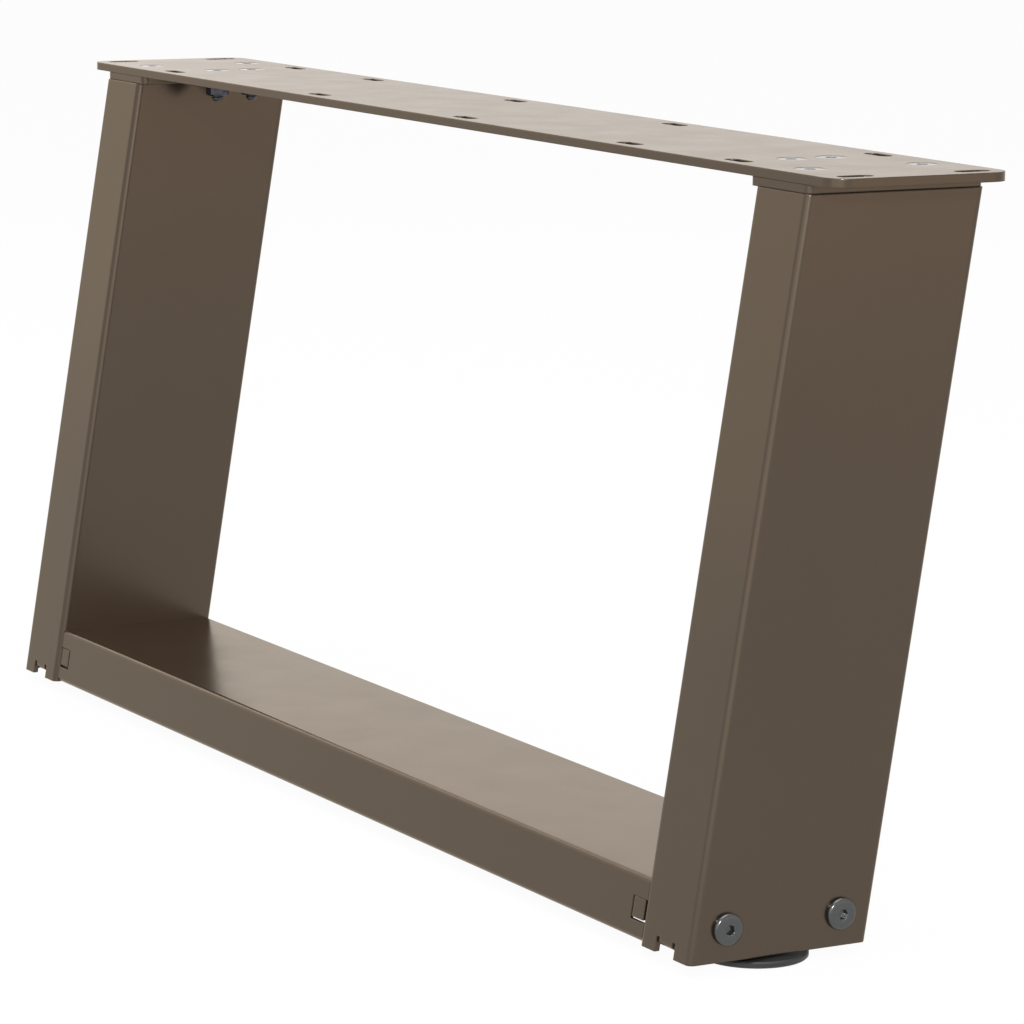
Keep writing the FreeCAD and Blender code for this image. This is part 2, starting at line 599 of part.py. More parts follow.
# Foot plate: lies on the folded tabs inside the upright, with a nut welded on top.
FOOT_Y = f"-{TAN} * upright_drop"
foot_plate = new_body("right_foot_plate", x=UPRIGHT_X, y=FOOT_Y, z=f"-{BOTTOM} + {SEAT}")
foot_plate_face = new_sketch(foot_plate, "foot_plate_outline", "XY_Plane")
draw_rounded_box(
    foot_plate_face, "(upright_depth - 2 * upright_wall - 2 * foot_plate_gap)",
    f"(upright_width - 2 * {LEVEL_WALL} - 2 * {TAN} * ({SEAT} + foot_plate_gauge)"
    " - 2 * foot_plate_gap)", "upright_bend")
draw_circle(foot_plate_face, "0", "0", STUD_HOLE)
pad(foot_plate, "foot_plate_sheet", foot_plate_face, "foot_plate_gauge")
foot_nut = hexagon_nut("right_foot_nut", UPRIGHT_X, FOOT_Y,
                       f"-{BOTTOM} + {SEAT} + foot_plate_gauge", STUD_HOLE)
nodes += [foot_plate, mirrored("left_foot_plate", foot_plate, X),
          foot_nut, mirrored("left_foot_nut", foot_nut, X)]

# Levelling foot: a moulded disc with a low cone, and the threaded stud set in it.
foot = new_body("right_foot_disc", x=UPRIGHT_X, y=FOOT_Y, z=f"-{BOTTOM} - foot_drop")
foot_face = new_sketch(foot, "foot_profile", "XZ_Plane")
cone_top = "(foot_rim + foot_cone)"
draw_polygon(foot_face, [
    ("0", "0"), ("foot_radius - foot_chamfer", "0"), ("foot_radius", "foot_chamfer"),
    ("foot_radius", "foot_rim - foot_chamfer"), ("foot_radius - foot_chamfer", "foot_rim"),
    ("foot_neck", cone_top), (TAPPED_HOLE, cone_top), (TAPPED_HOLE, "foot_floor"),
    ("0", "foot_floor")])
revolve(foot, "foot_turned", foot_face, "V_Axis")
stud = new_body("right_foot_stud", x=UPRIGHT_X, y=FOOT_Y, z=f"-{BOTTOM} - foot_drop + foot_floor")
stud_face = new_sketch(stud, "stud_profile", "XZ_Plane")
draw_polygon(stud_face, [
    ("0", "0"), (radius, "0"), (radius, "stud_length - stud_chamfer"),
    (f"{radius} - stud_chamfer", "stud_length"), ("0", "stud_length")])
revolve(stud, "stud_turned", stud_face, "V_Axis")
nodes += [foot, mirrored("left_foot_disc", foot, X), stud, mirrored("left_foot_stud", stud, X)]

doc.recompute()
for obj in doc.Objects:
    if "Invalid" in obj.State or "Error" in obj.State:
        raise RuntimeError(f"{obj.Name} is {obj.State}")
for node in nodes:
    if node.Shape.isNull() or not node.Shape.isValid() or not node.Shape.Solids:
        raise RuntimeError(f"{node.Label} has no valid shape")

os.makedirs("parts", exist_ok=True)
for node in nodes:
    node.Shape.exportStep(f"parts/{node.Label}.step")
    box = node.Shape.BoundBox
    print(f"{node.Label:22s} {len(node.Shape.Solids)} x {box.XMin:8.2f} {box.XMax:8.2f}"
          f"  y {box.YMin:8.2f} {box.YMax:8.2f}  z {box.ZMin:8.2f} {box.ZMax:8.2f}"
          f"  cm3 {node.Shape.Volume / 1000:8.2f}")
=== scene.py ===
"""Finishes, fastener details, studio and camera for the leaning U shaped table leg."""

import logging
import math
from collections.abc import Callable
from dataclasses import dataclass, field
from enum import Enum

import bmesh
import bpy
from mathutils import Matrix, Vector


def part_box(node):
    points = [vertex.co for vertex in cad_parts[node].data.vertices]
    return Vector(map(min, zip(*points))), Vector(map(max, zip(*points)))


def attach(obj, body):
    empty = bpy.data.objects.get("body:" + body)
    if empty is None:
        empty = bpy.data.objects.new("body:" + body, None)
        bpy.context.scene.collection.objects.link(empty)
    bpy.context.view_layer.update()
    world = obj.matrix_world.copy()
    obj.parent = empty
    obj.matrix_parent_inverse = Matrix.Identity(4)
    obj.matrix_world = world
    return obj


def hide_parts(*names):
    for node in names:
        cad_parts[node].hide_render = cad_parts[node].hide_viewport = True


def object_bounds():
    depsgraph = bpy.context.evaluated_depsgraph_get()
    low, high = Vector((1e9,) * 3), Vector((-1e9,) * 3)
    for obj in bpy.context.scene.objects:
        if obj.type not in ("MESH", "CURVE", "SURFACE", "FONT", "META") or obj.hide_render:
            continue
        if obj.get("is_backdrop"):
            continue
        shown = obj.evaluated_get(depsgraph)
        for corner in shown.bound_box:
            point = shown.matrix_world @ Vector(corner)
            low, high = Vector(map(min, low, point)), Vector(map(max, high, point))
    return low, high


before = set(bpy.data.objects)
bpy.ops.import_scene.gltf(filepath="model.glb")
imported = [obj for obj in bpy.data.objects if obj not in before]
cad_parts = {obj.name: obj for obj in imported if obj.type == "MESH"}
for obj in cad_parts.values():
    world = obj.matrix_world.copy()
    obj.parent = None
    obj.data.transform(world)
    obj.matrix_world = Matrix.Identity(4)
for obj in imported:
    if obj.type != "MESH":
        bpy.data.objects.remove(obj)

LOG = logging.getLogger("table_leg")
MM = 0.001

# Sizes that the fasteners and feet share with the solids, in millimetres.
THREAD_DIAMETER = 8.0
THREAD_PITCH = 1.25
THREAD_ROOT = THREAD_DIAMETER / 2 - 0.62 * THREAD_PITCH
THREAD_TIP = 0.8
THREAD_RUNOUT = 0.6
RIDGE_TIP_GAP = 0.9
RIDGE_START_GAP = 0.4
SOCKET_WIDTH = 5.0
SOCKET_DEPTH = 2.4
RING_SIDES = 48
WELD_DISTANCE = 1e-7

# Where a colour mix node keeps its colours, which share their names with other sockets.
MIX_FACTOR, MIX_LOW, MIX_HIGH, MIX_RESULT = 0, 6, 7, 2

Colour = tuple[float, float, float]
Place = tuple[float, float, float]
WHITE = (1.0, 1.0, 1.0)


def opaque(colour: Colour) -> tuple[float, float, float, float]:
    """Adds a full alpha to a colour.

    Args:
        colour: Red, green and blue.

    Returns:
        The colour as a shader socket takes it.
    """
    return (*colour, 1.0)


def scaled(colour: Colour, factor: float) -> Colour:
    """Makes a colour lighter or darker.

    Args:
        colour: Red, green and blue.
        factor: What each is multiplied by.

    Returns:
        The new colour.
    """
    red, green, blue = colour
    return (red * factor, green * factor, blue * factor)


class Side(Enum):
    """The two ends of the leg, with the sign of their X."""

    LEFT = -1
    RIGHT = 1

    @property
    def prefix(self) -> str:
        """The word that starts the names of this side's pieces.

        Returns:
            The side's name in small letters.
        """
        return self.name.lower()


class Shape(Enum):
    """Outline of one ring of a turned form."""

    ROUND = "round"
    HEXAGON = "hexagon"


# Shader graphs


class Number:
    """A shader value that adds Math nodes through Python's operators."""

    def __init__(self, graph: "Graph", socket: bpy.types.NodeSocket) -> None:
        """Wraps an output socket of a graph.

        Args:
            graph: The graph that the new Math nodes go into.
            socket: The output that holds the value.
        """
        self.graph = graph
        self.socket = socket

    def _math(self, operation: str, *values: object) -> "Number":
        """Adds one Math node.

        Args:
            operation: Blender's name of the operation.
            values: Numbers or wrapped sockets, in the order of the inputs.

        Returns:
            The wrapped result.
        """
        inputs = dict(enumerate(values))
        return self.graph.number("ShaderNodeMath", {"operation": operation}, inputs)

    def __add__(self, other: object) -> "Number":
        """This value plus another.

        Args:
            other: A number or a wrapped socket.

        Returns:
            The wrapped sum.
        """
        return self._math("ADD", self, other)

    __radd__ = __add__

    def __sub__(self, other: object) -> "Number":
        """This value less another.

        Args:
            other: A number or a wrapped socket.

        Returns:
            The wrapped difference.
        """
        return self._math("SUBTRACT", self, other)

    def __rsub__(self, other: object) -> "Number":
        """Another value less this one.

        Args:
            other: A number or a wrapped socket.

        Returns:
            The wrapped difference.
        """
        return self._math("SUBTRACT", other, self)

    def __mul__(self, other: object) -> "Number":
        """This value times another.

        Args:
            other: A number or a wrapped socket.

        Returns:
            The wrapped product.
        """
        return self._math("MULTIPLY", self, other)

    __rmul__ = __mul__

    def clamped(self) -> "Number":
        """This value held between 0 and 1.

        Returns:
            The wrapped result.
        """
        low = self._math("MAXIMUM", self, 0.0)
        return low._math("MINIMUM", low, 1.0)


class Graph:
    """The node tree of one material or of the world."""

    def __init__(self, owner: bpy.types.Material | bpy.types.World) -> None:
        """Empties the node tree of its owner.

        Args:
            owner: The material or world.
        """
        owner.use_nodes = True
        self.owner = owner
        self.tree = owner.node_tree
        self.tree.nodes.clear()

    @classmethod
    def named(cls, name: str) -> "Graph":
        """Makes a new material and the graph for it.

        Args:
            name: The material's name.

        Returns:
            The empty graph.
        """
        return cls(bpy.data.materials.new(name))

    def node(self, kind: str, settings: dict[str, object],
             inputs: dict[object, object]) -> bpy.types.Node:
        """Adds a node of any type.

        Args:
            kind: The node's type.
            settings: Properties that are set before the inputs.
            inputs: Values or sockets by the input's name or index.

        Returns:
            The new node.
        """
        made = self.tree.nodes.new(kind)
        for key, setting in settings.items():
            setattr(made, key, setting)
        for key, given in inputs.items():
            given = given.socket if isinstance(given, Number) else given
            if isinstance(given, bpy.types.NodeSocket):
                self.tree.links.new(given, made.inputs[key])
            else:
                made.inputs[key].default_value = given
        return made

    def number(self, kind: str, settings: dict[str, object], inputs: dict[object, object],
               output: object = 0) -> Number:
        """Adds a node and wraps one of its outputs as a number.

        Args:
            kind: The node's type.
            settings: Properties that are set before the inputs.
            inputs: Values or sockets by the input's name or index.
            output: The name or index of the wanted output.

        Returns:
            The wrapped output.
        """
        return Number(self, self.node(kind, settings, inputs).outputs[output])

    def place(self, stretch: Place = (1.0, 1.0, 1.0)) -> bpy.types.NodeSocket:
        """Object coordinates, stretched along the axes.

        Args:
            stretch: Factor along X, Y and Z.

        Returns:
            The vector socket.
        """
        coordinates = self.node("ShaderNodeTexCoord", {}, {}).outputs["Object"]
        mapping = self.node("ShaderNodeMapping", {}, {"Vector": coordinates, "Scale": stretch})
        return mapping.outputs["Vector"]

    def noise(self, scale: float, detail: float = 2.0,
              stretch: Place = (1.0, 1.0, 1.0)) -> Number:
        """Noise on Object coordinates, from 0 to 1.

        Args:
            scale: Features per metre.
            detail: Octaves of finer noise.
            stretch: Factor along X, Y and Z.

        Returns:
            The wrapped noise value.
        """
        inputs = {"Vector": self.place(stretch), "Scale": scale, "Detail": detail}
        return self.number("ShaderNodeTexNoise", {}, inputs, "Fac")

    def blend(self, mask: Number, low: Colour, high: Colour) -> bpy.types.NodeSocket:
        """Mixes two colours by a mask.

        Args:
            mask: 0 for the low colour, 1 for the high one.
            low: First colour.
            high: Second colour.

        Returns:
            The colour socket.
        """
        inputs = {MIX_FACTOR: mask, MIX_LOW: opaque(low), MIX_HIGH: opaque(high)}
        return self.node("ShaderNodeMix", {"data_type": "RGBA"}, inputs).outputs[MIX_RESULT]

    def varied(self, pattern: Number, spread: float, middle: float) -> Number:
        """Spreads a pattern round a middle value, held between 0 and 1.

        Args:
            pattern: The pattern, from 0 to 1.
            spread: Difference between its lowest and highest value.
            middle: The value at the pattern's middle.

        Returns:
            The wrapped value.
        """
        return (pattern * spread + (middle - spread / 2)).clamped()

    def bump(self, height: Number, depth: float,
             normal: bpy.types.NodeSocket | None = None) -> bpy.types.NodeSocket:
        """Raises the surface by a height pattern.

        Args:
            height: The pattern, from 0 to 1.
            depth: Its full height in metres.
            normal: The surface that it is laid on.

        Returns:
            The normal socket.
        """
        inputs: dict[object, object] = {
            "Height": height, "Distance": depth, "Strength": 1.0}
        if normal is not None:
            inputs["Normal"] = normal
        return self.node("ShaderNodeBump", {}, inputs).outputs["Normal"]

    def surface(self, inputs: dict[object, object]) -> bpy.types.Material:
        """Closes the graph with one Principled shader.

        Args:
            inputs: Values or sockets of the shader.

        Returns:
            The finished material.
        """
        shader = self.node("ShaderNodeBsdfPrincipled", {}, inputs)
        self.node("ShaderNodeOutputMaterial", {}, {"Surface": shader.outputs["BSDF"]})
        return self.owner

    def on_show(self) -> Number:
        """1 for rays from the camera or off a glossy or clear surface, 0 for soft light.

        Returns:
            The wrapped mask.
        """
        path = self.node("ShaderNodeLightPath", {}, {})
        kinds = [Number(self, path.outputs[f"Is {kind} Ray"])
                 for kind in ("Camera", "Glossy", "Transmission")]
        return (kinds[0] + kinds[1] + kinds[2]).clamped()


@dataclass(frozen=True)
class BronzeCoat:
    """Satin metallic powder coat on folded sheet: soft orange peel and a faint cloudiness."""

    name: str
    colour: Colour
    grazing: Colour = (1.0, 0.91, 0.80)
    metallic: float = 0.85
    roughness: float = 0.24
    roughness_spread: float = 0.09
    cloud: float = 0.06
    cloud_scale: float = 7.0
    cloud_share: float = 0.65
    speck_scale: float = 2400.0
    rub_scale: float = 28.0
    rub_stretch: Place = (1.0, 1.0, 0.35)
    peel_scale: float = 620.0
    peel_depth: float = 0.000008
    edge_radius: float = 0.0013

    def material(self) -> bpy.types.Material:
        """Builds the material.

        Returns:
            The finished material.
        """
        graph = Graph.named(self.name)
        clouds = graph.noise(self.cloud_scale, detail=3.0)
        specks = graph.noise(self.speck_scale, detail=1.0)
        tone = (clouds * self.cloud_share + specks * (1.0 - self.cloud_share)).clamped()
        low = scaled(self.colour, 1.0 - self.cloud)
        high = scaled(self.colour, 1.0 + self.cloud)
        rub = graph.noise(self.rub_scale, detail=4.0, stretch=self.rub_stretch)
        peel = graph.noise(self.peel_scale)
        rounded = graph.node("ShaderNodeBevel", {"samples": 6}, {"Radius": self.edge_radius})
        return graph.surface({
            "Base Color": graph.blend(tone, low, high),
            "Metallic": self.metallic,
            "Roughness": graph.varied(rub, self.roughness_spread, self.roughness),
            "Specular Tint": opaque(self.grazing),
            "Normal": graph.bump(peel, self.peel_depth, rounded.outputs["Normal"]),
        })


@dataclass(frozen=True)
class PlatedSteel:
    """Plated or blackened steel with fine turning marks and a slight spangle."""

    name: str
    low: Colour
    high: Colour
    roughness: float = 0.28
    roughness_spread: float = 0.16
    metallic: float = 1.0
    grazing: Colour = WHITE
    spangle_scale: float = 900.0
    mark_scale: float = 1500.0
    mark_stretch: Place = (1.0, 1.0, 6.0)
    mark_depth: float = 0.000006

    def material(self) -> bpy.types.Material:
        """Builds the material.

        Returns:
            The finished material.
        """
        graph = Graph.named(self.name)
        spangle = graph.noise(self.spangle_scale, detail=3.0)
        marks = graph.noise(self.mark_scale, stretch=self.mark_stretch)
        return graph.surface({
            "Base Color": graph.blend(spangle, self.low, self.high),
            "Metallic": self.metallic,
            "Roughness": graph.varied(spangle, self.roughness_spread, self.roughness),
            "Specular Tint": opaque(self.grazing),
            "Normal": graph.bump(marks, self.mark_depth),
        })


@dataclass(frozen=True)
class MouldedPlastic:
    """Fine-grained moulded plastic of the levelling feet."""

    name: str
    colour: Colour
    roughness: float = 0.5
    roughness_spread: float = 0.14
    paling: float = 1.35
    scuff_scale: float = 60.0
    scuff_share: float = 0.8
    grain_scale: float = 1900.0
    grain_depth: float = 0.00002

    def material(self) -> bpy.types.Material:
        """Builds the material.

        Returns:
            The finished material.
        """
        graph = Graph.named(self.name)
        grain = graph.noise(self.grain_scale)
        scuff = graph.noise(self.scuff_scale, detail=4.0)
        pale = scaled(self.colour, self.paling)
        return graph.surface({
            "Base Color": graph.blend(scuff * self.scuff_share, self.colour, pale),
            "Roughness": graph.varied(scuff, self.roughness_spread, self.roughness),
            "Normal": graph.bump(grain, self.grain_depth),
        })


@dataclass
class Finishes:
    """All materials of the leg, made once."""

    paint: bpy.types.Material = field(default_factory=lambda: BronzeCoat(
        "bronze_powder_coat", (0.090, 0.0695, 0.0515)).material())
    zinc: bpy.types.Material = field(default_factory=lambda: PlatedSteel(
        "zinc_plate", (0.52, 0.525, 0.54), (0.64, 0.64, 0.65),
        grazing=(0.76, 0.74, 0.72)).material())
    dark: bpy.types.Material = field(default_factory=lambda: PlatedSteel(
        "dark_oxide", (0.076, 0.078, 0.079), (0.104, 0.106, 0.107),
        roughness=0.22, metallic=0.9).material())
    # Zinc darkened and blued as painted shade and painted dark reflection, for the nuts and for
    # the plate screws' sockets and threaded ends
    nut: bpy.types.Material = field(default_factory=lambda: PlatedSteel(
        "zinc_in_painted_shade", (0.050, 0.051, 0.062), (0.080, 0.081, 0.096),
        roughness=0.3).material())
    plastic: bpy.types.Material = field(default_factory=lambda: MouldedPlastic(
        "foot_plastic", (0.012, 0.0125, 0.013)).material())


def paint_node(node: str, material: bpy.types.Material) -> None:
    """Gives a node of the frame a new material.

    Args:
        node: The node's name.
        material: Its finish.
    """
    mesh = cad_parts[node].data
    mesh.materials.clear()
    mesh.materials.append(material)


# Turned and threaded forms


class TurnedForm:
    """A form raised ring by ring round Z, each ring round or hexagonal."""

    def __init__(self, radius: float, height: float, shape: Shape = Shape.ROUND) -> None:
        """Starts with one ring.

        Args:
            radius: Radius in millimetres, or half the width across flats.
            height: Its place along Z in millimetres.
            shape: Round or hexagonal.
        """
        self.bm = bmesh.new()
        made = bmesh.ops.create_circle(self.bm, cap_ends=False, radius=1.0, segments=RING_SIDES)
        self.last = list({e for v in made["verts"] for e in v.link_edges})
        self._shape(made["verts"], radius, height, shape)

    @staticmethod
    def _shape(verts: list[bmesh.types.BMVert], radius: float, height: float,
               shape: Shape) -> None:
        """Moves a ring's vertices to their radius and height.

        Args:
            verts: The ring.
            radius: Radius or half width in millimetres.
            height: Place along Z in millimetres.
            shape: Round or hexagonal.
        """
        sixth = math.pi / 3
        for vert in verts:
            angle = math.atan2(vert.co.y, vert.co.x)
            reach = radius
            if shape is Shape.HEXAGON:
                reach = radius / math.cos((angle % sixth) - sixth / 2)
            vert.co = Vector((math.cos(angle), math.sin(angle), 0.0)) * reach * MM
            vert.co.z = height * MM

    def ring(self, radius: float, height: float, shape: Shape = Shape.ROUND) -> "TurnedForm":
        """Extrudes the last ring to a new one.

        Args:
            radius: Radius or half width in millimetres.
            height: Place along Z in millimetres.
            shape: Round or hexagonal.

        Returns:
            This form.
        """
        made = bmesh.ops.extrude_edge_only(self.bm, edges=self.last)["geom"]
        self.last = [g for g in made if isinstance(g, bmesh.types.BMEdge)]
        self._shape([g for g in made if isinstance(g, bmesh.types.BMVert)], radius, height, shape)
        return self

    def cap(self) -> "TurnedForm":
        """Fills the last ring with one face.

        Returns:
            This form.
        """
        bmesh.ops.edgeloop_fill(self.bm, edges=self.last)
        return self

    def shank(self, start: float, tip: float) -> "TurnedForm":
        """Runs a plain shank down to the thread's root and ends it with a chamfered tip.

        Args:
            start: Where the thread starts, in millimetres along Z.
            tip: Where the shank ends.

        Returns:
            This form.
        """
        self.ring(THREAD_DIAMETER / 2, start).ring(THREAD_ROOT, start - THREAD_RUNOUT)
        return self.ring(THREAD_ROOT, tip + THREAD_TIP).ring(THREAD_ROOT - THREAD_TIP, tip).cap()

    def closed(self) -> bmesh.types.BMesh:
        """Joins the last ring to the first and turns all faces outwards.

        Returns:
            The finished mesh.
        """
        bmesh.ops.remove_doubles(self.bm, verts=self.bm.verts, dist=WELD_DISTANCE)
        open_edges = [e for e in self.bm.edges if len(e.link_faces) == 1]
        if open_edges:
            bmesh.ops.holes_fill(self.bm, edges=open_edges, sides=0)
        bmesh.ops.recalc_face_normals(self.bm, faces=self.bm.faces)
        return self.bm


@dataclass
class Thread:
    """Helical ridge of a metric thread round Z."""

    start: float
    end: float
    steps: int = 20
    foot_radius: float = THREAD_ROOT - 0.1
    crest_radius: float = THREAD_DIAMETER / 2 - 0.02
    foot_half: float = 0.44 * THREAD_PITCH
    crest_half: float = 0.06 * THREAD_PITCH

    @classmethod
    def on_shank(cls, start: float, tip: float) -> "Thread":
        """The thread of a shank, clear of its tip and its run-out.

        Args:
            start: Where the shank's thread starts, in millimetres along Z.
            tip: Where the shank ends.

        Returns:
            The thread between them.
        """
        return cls(tip + RIDGE_TIP_GAP, start - RIDGE_START_GAP)

    def build(self) -> bmesh.types.BMesh:
        """Spins one tooth along the helix.

        Returns:
            The ridge as a closed mesh.
        """
        bm = bmesh.new()
        profile = ((self.foot_radius, -self.foot_half), (self.crest_radius, -self.crest_half),
                   (self.crest_radius, self.crest_half), (self.foot_radius, self.foot_half))
        low = self.start + self.foot_half
        verts = [bm.verts.new(Vector((r, 0.0, low + z)) * MM) for r, z in profile]
        tooth = bm.faces.new(verts)
        turns = (self.end - self.start - 2 * self.foot_half) / THREAD_PITCH
        count = max(1, round(turns * self.steps))
        bmesh.ops.spin(
            bm, geom=[tooth, *tooth.edges, *tooth.verts], cent=(0, 0, 0), axis=(0, 0, 1),
            dvec=(0, 0, THREAD_PITCH * MM / self.steps), angle=2 * math.pi * count / self.steps,
            steps=count, use_duplicate=False)
        bmesh.ops.remove_doubles(bm, verts=bm.verts, dist=WELD_DISTANCE)
        bmesh.ops.recalc_face_normals(bm, faces=bm.faces)
        return bm


@dataclass
class Piece:
    """Collects finished forms into one object of the scene."""

    name: str
    material: bpy.types.Material
    shade: bpy.types.Material | None = None
    bm: bmesh.types.BMesh = field(default_factory=bmesh.new)

    def add(self, form: bmesh.types.BMesh, place: Matrix,
            shaded: Callable[[Vector], bool] | None = None) -> None:
        """Adds a form at its place and frees it.

        Args:
            form: The form round its own origin.
            place: Where it goes, in metres.
            shaded: Tells from a face's centre in millimetres if it takes the second material.
        """
        if shaded is not None:
            for face in form.faces:
                face.material_index = int(shaded(face.calc_center_median() / MM))
        bmesh.ops.transform(form, matrix=place, verts=form.verts)
        if place.to_3x3().determinant() < 0:
            bmesh.ops.reverse_faces(form, faces=form.faces)
        part = bpy.data.meshes.new("part")
        form.to_mesh(part)
        form.free()
        self.bm.from_mesh(part)
        bpy.data.meshes.remove(part)

    def finish(self, body: str, node: str, slot: str, sharp: float = 32.0) -> bpy.types.Object:
        """Makes the object, which rides on a body in place of a node.

        Args:
            body: The body that it moves with.
            node: The node that it stands for.
            slot: The record's material slot; not used.
            sharp: Angle in degrees above which an edge stays sharp.

        Returns:
            The new object.
        """
        mesh = bpy.data.meshes.new(self.name)
        self.bm.to_mesh(mesh)
        self.bm.free()
        mesh.materials.append(self.material)
        if self.shade is not None:
            mesh.materials.append(self.shade)
        mesh.shade_smooth()
        mesh.set_sharp_from_angle(angle=math.radians(sharp))
        made = bpy.data.objects.new(self.name, mesh)
        bpy.context.scene.collection.objects.link(made)
        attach(made, body)
        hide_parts(node)
        LOG.info("%s: %d faces", self.name, len(mesh.polygons))
        return made


# Sub-assemblies


def foot_of(node: str) -> Vector:
    """The middle of the lower face of a node's box.

    Args:
        node: The node's name.

    Returns:
        The point in metres.
    """
    low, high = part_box(node)
    return Vector(((low.x + high.x) / 2, (low.y + high.y) / 2, low.z))


@dataclass
class SheetWork:
    """All painted sheet of the frame: plate, flanges, uprights, rail and its end pieces."""

    paint: bpy.types.Material
    single: tuple[str, ...] = ("top_plate", "bottom_rail")
    paired: tuple[str, ...] = ("flange", "upright", "rail_end_plate", "cross_bar")

    def dress(self) -> None:
        """Paints every sheet node."""
        names = list(self.single)
        names += [f"{side.prefix}_{kind}" for side in Side for kind in self.paired]
        for name in names:
            paint_node(name, self.paint)
        LOG.info("painted %d sheet pieces", len(names))


@dataclass
class FrameScrews:
    """The two low-headed screws that hold each upright to the rail."""

    finish: bpy.types.Material
    head: float = 17.5
    rise: float = 3.4
    rim: float = 1.3
    crown: float = 12.4
    crown_edge: float = 0.5
    crown_drop: float = 0.08
    dome_steps: int = 8
    mouth_depth: float = 0.3
    mouth_flare: float = 0.5
    chamfer: float = 0.25
    neck: float = 0.3
    spread: float = 70.0
    thread_run: float = 24.0
    turn: float = 17.0
    twist: float = 9.0

    def _form(self, length: float) -> bmesh.types.BMesh:
        """One screw with its bearing face at Z 0 and its shank along -Z.

        Args:
            length: Shank length in millimetres.

        Returns:
            The closed form without its thread.
        """
        rim, crown, core = self.head / 2, self.crown / 2, THREAD_DIAMETER / 2
        shoulder = self.rise - self.crown_drop
        form = TurnedForm(SOCKET_WIDTH / 2, self.rise - SOCKET_DEPTH, Shape.HEXAGON)
        form.ring(SOCKET_WIDTH / 2, self.rise - self.mouth_depth, Shape.HEXAGON)
        form.ring(SOCKET_WIDTH / 2 + self.mouth_flare, self.rise)
        form.ring(crown - self.crown_edge, self.rise).ring(crown, shoulder)
        for step in range(1, self.dome_steps + 1):
            turn = step / self.dome_steps * math.pi / 2
            form.ring(crown + (rim - crown) * math.sin(turn),
                      self.rim + (shoulder - self.rim) * math.cos(turn))
        form.ring(rim, self.chamfer).ring(rim - self.chamfer, 0.0)
        form.ring(core + self.neck, 0.0).ring(core, -self.neck)
        return form.shank(self.thread_run - length, -length).closed()

    def build(self) -> None:
        """Makes the screws of both sides."""
        for side in Side:
            node = f"{side.prefix}_frame_screws"
            low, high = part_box(node)
            outer = high.x if side is Side.RIGHT else low.x
            length = (high.x - low.x) / MM - self.rise
            middle = (low + high) / 2
            piece = Piece(f"{node}_turned", self.finish)
            outward = Matrix.Rotation(math.radians(90 * side.value), 4, "Y")
            for sign in (-1, 1):
                seat = Vector((outer - side.value * self.rise * MM,
                               middle.y + sign * self.spread / 2 * MM, middle.z))
                spin = Matrix.Rotation(math.radians(self.turn + self.twist * sign), 4, "Z")
                place = Matrix.Translation(seat) @ outward @ spin
                piece.add(self._form(length), place)
                piece.add(Thread.on_shank(self.thread_run - length, -length).build(), place)
            piece.finish("frame", node, "dark_steel")


@dataclass
class PlateScrews:
    """The four countersunk screws at each end of the top plate."""

    finish: bpy.types.Material
    # Darker zinc painted on the socket and the threaded end as shade
    shade: bpy.types.Material
    head: float = 16.4
    mouth_depth: float = 0.5
    mouth_flare: float = 0.8
    edge: tuple[tuple[float, float], ...] = ((0.5, 0.0), (0.15, -0.06), (0.0, -0.25))
    cone_drop: float = 0.1
    outer: tuple[float, float] = (396.0, 35.0)
    inner: tuple[float, float] = (344.0, 12.5)
    thread_start: float = 9.0
    turn: float = 11.0
    twist: float = 23.0

    def spots(self, side: Side) -> list[tuple[float, float]]:
        """Places of one end's screws.

        Args:
            side: The end of the leg.

        Returns:
            X and Y of each screw in metres.
        """
        return [(side.value * x * MM, sign * y * MM)
                for x, y in (self.outer, self.inner) for sign in (-1, 1)]

    def _form(self, length: float) -> bmesh.types.BMesh:
        """One screw with its flat head at Z 0.

        Args:
            length: Whole length in millimetres.

        Returns:
            The closed form without its thread.
        """
        rim, core = self.head / 2, THREAD_DIAMETER / 2
        form = TurnedForm(SOCKET_WIDTH / 2, -SOCKET_DEPTH, Shape.HEXAGON)
        form.ring(SOCKET_WIDTH / 2, -self.mouth_depth, Shape.HEXAGON)
        form.ring(SOCKET_WIDTH / 2 + self.mouth_flare, 0.0)
        for inset, height in self.edge:
            form.ring(rim - inset, height)
        form.ring(core, core - rim - self.cone_drop)
        return form.shank(-self.thread_start, -length).closed()

    def _shaded(self, centre: Vector) -> bool:
        """Tells if a face lies in the socket or on the threaded end, which take the darker zinc
        as painted shade.

        Args:
            centre: The face's centre in millimetres.

        Returns:
            True for the socket and the thread.
        """
        in_socket = centre.xy.length < SOCKET_WIDTH / 2 + self.mouth_flare
        return in_socket or centre.z < -self.thread_start

    def build(self) -> None:
        """Makes the screws of both ends."""
        for side in Side:
            node = f"{side.prefix}_plate_screws"
            low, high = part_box(node)
            length = (high.z - low.z) / MM
            piece = Piece(f"{node}_turned", self.finish, self.shade)
            for index, spot in enumerate(self.spots(side)):
                spin = Matrix.Rotation(math.radians(self.twist * index + self.turn), 4, "Z")
                place = Matrix.Translation((*spot, high.z)) @ spin
                piece.add(self._form(length), place, self._shaded)
                thread = Thread.on_shank(-self.thread_start, -length)
                piece.add(thread.build(), place, self._shaded)
            piece.finish("frame", node, "zinc")


